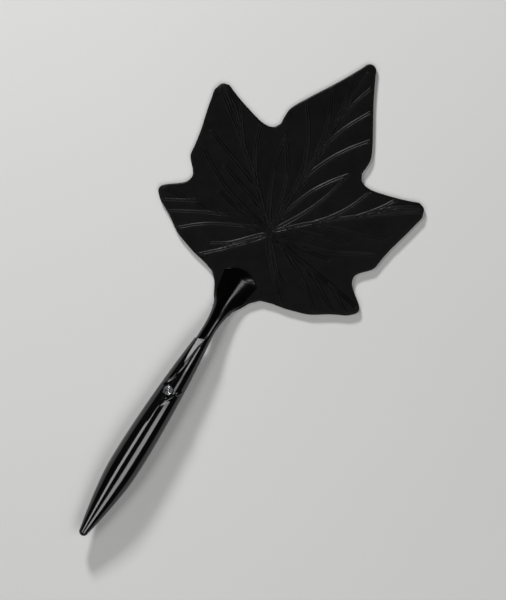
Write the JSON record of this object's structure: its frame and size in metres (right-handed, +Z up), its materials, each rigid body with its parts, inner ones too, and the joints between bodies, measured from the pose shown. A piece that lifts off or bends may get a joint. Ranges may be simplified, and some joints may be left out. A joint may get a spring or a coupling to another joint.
{
  "type": "leaf-shaped hand paddle",
  "caption": "Flat hand paddle: a soft five-lobed leaf blade with raised veins on a slim cranked neck and a glossy spindle handle.",
  "frame": {"origin": "middle of the footprint, on the surface that the paddle lies on with its front face up", "axes": "+Y along the handle towards the leaf tip, +X across the leaf, +Z up out of the front face"},
  "size_m": [0.15, 0.34, 0.0194],
  "materials": {
    "leaf_skin": "matt, fine grain",
    "core_plate": "plain sheet",
    "gloss_shell": "polished",
    "steel": "bright",
    "plug": "satin",
    "badge": "satin"
  },
  "bodies": {
    "root": {"leaf_front_skin": "leaf_skin", "leaf_core_plate": "core_plate", "leaf_back_skin": "leaf_skin", "yoke_front": "gloss_shell", "yoke_back": "gloss_shell", "yoke_screw_left": "steel", "yoke_screw_right": "steel", "yoke_screw_centre": "steel", "tang_rod": "steel", "neck_cross_pin": "steel", "handle_cross_pin": "steel", "handle_front_shell": "gloss_shell", "handle_back_shell": "gloss_shell", "handle_screw_upper": "steel", "handle_screw_middle": "steel", "handle_screw_lower": "steel", "screw_plug_upper": "plug", "screw_plug_middle": "plug", "screw_plug_lower": "plug", "emblem_badge": "badge"}
  },
  "joints": []
}
